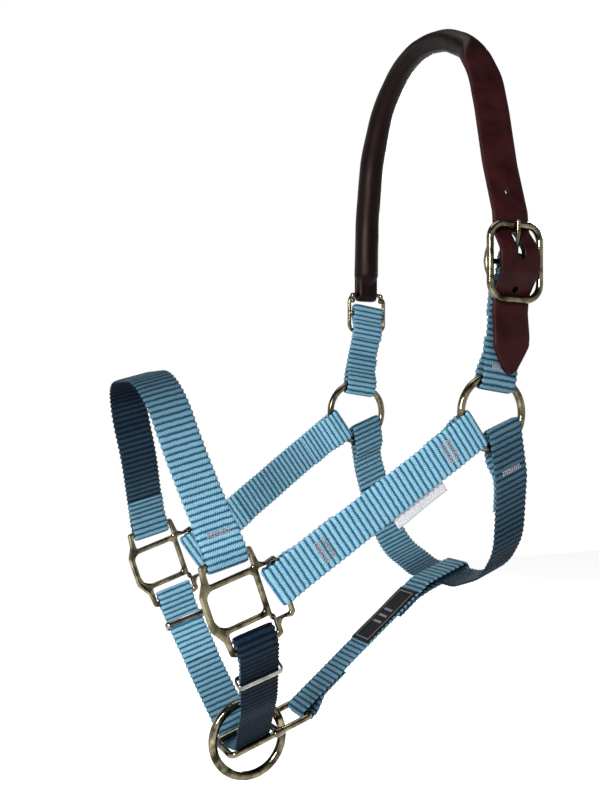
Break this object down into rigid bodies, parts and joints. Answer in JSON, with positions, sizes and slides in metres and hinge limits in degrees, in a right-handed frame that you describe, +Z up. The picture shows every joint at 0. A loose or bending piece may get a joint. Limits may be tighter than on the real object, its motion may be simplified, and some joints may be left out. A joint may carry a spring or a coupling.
{
  "type": "head halter",
  "caption": "Horse head halter: ribbed blue webbing cheek, nose, chin and throat straps on brass rings and squares, with a rolled leather buckled crown.",
  "frame": {"origin": "the poll: middle of the underside of the crown, where it lies on the neck behind the ears", "axes": "+X to the near (left) side, -Y towards the nose, +Z up"},
  "size_m": [0.2065, 0.2446, 0.4979],
  "materials": {
    "webbing": "ribbed nylon webbing",
    "leather": "dark brown oiled leather",
    "filler_cord": "twisted cord, hidden in the roll",
    "brass": "antique polished",
    "thread": "bartack thread",
    "black_label": "woven, plain",
    "white_tag": "satin ribbon, blank"
  },
  "bodies": {
    "crown": {"crown_strap": "leather", "roll_filler": "filler_cord", "near_buckle_frame": "brass", "far_crown_loop": "brass", "near_crown_post": "webbing", "far_crown_post": "webbing", "crown_post_bartacks": "thread"},
    "tongue": {"near_buckle_tongue": "brass"},
    "nose": {"near_cheek_strap": "webbing", "far_cheek_strap": "webbing", "near_nose_square": "brass", "far_nose_square": "brass", "noseband": "webbing", "chin_strap": "webbing", "chin_link": "brass", "connecting_strap": "webbing", "throat_strap": "webbing", "woven_label": "black_label", "size_tag": "white_tag", "cheek_bartacks": "thread", "noseband_bartacks": "thread", "throat_bartacks": "thread"},
    "near_ring": {"near_side_ring": "brass"},
    "far_ring": {"far_side_ring": "brass"},
    "near_keeper": {"near_chin_keeper": "brass"},
    "far_keeper": {"far_chin_keeper": "brass"},
    "lead": {"lead_ring": "brass"}
  },
  "joints": [
    {"name": "crown_swing", "type": "hinge", "parent": "crown", "child": "nose", "pos_m": [0, -0.012, -0.246], "axis": [1, 0, 0], "range_deg": [-15, 30]},
    {"name": "tongue_lift", "type": "hinge", "parent": "crown", "child": "tongue", "pos_m": [0.0965, -0.0015, -0.155], "axis": [0, 1, 0], "range_deg": [0, 22]},
    {"name": "near_ring_turn", "type": "hinge", "parent": "nose", "child": "near_ring", "pos_m": [0.089, -0.012, -0.246], "axis": [1, 0, 0], "continuous": true},
    {"name": "far_ring_turn", "type": "hinge", "parent": "nose", "child": "far_ring", "pos_m": [-0.089, -0.012, -0.246], "axis": [1, 0, 0], "continuous": true},
    {"name": "near_keeper_slide", "type": "slide", "parent": "nose", "child": "near_keeper", "axis": [-0.6019, 0.2361, -0.7629], "range_m": [-0.009, 0.013]},
    {"name": "far_keeper_slide", "type": "slide", "parent": "nose", "child": "far_keeper", "axis": [0.5413, 0.2486, -0.8032], "range_m": [-0.002, 0.019]},
    {"name": "lead_ring_swing", "type": "hinge", "parent": "nose", "child": "lead", "pos_m": [0, -0.1421, -0.4334], "axis": [0, 0.9553, 0.2957], "range_deg": [-8, 8]}
  ]
}
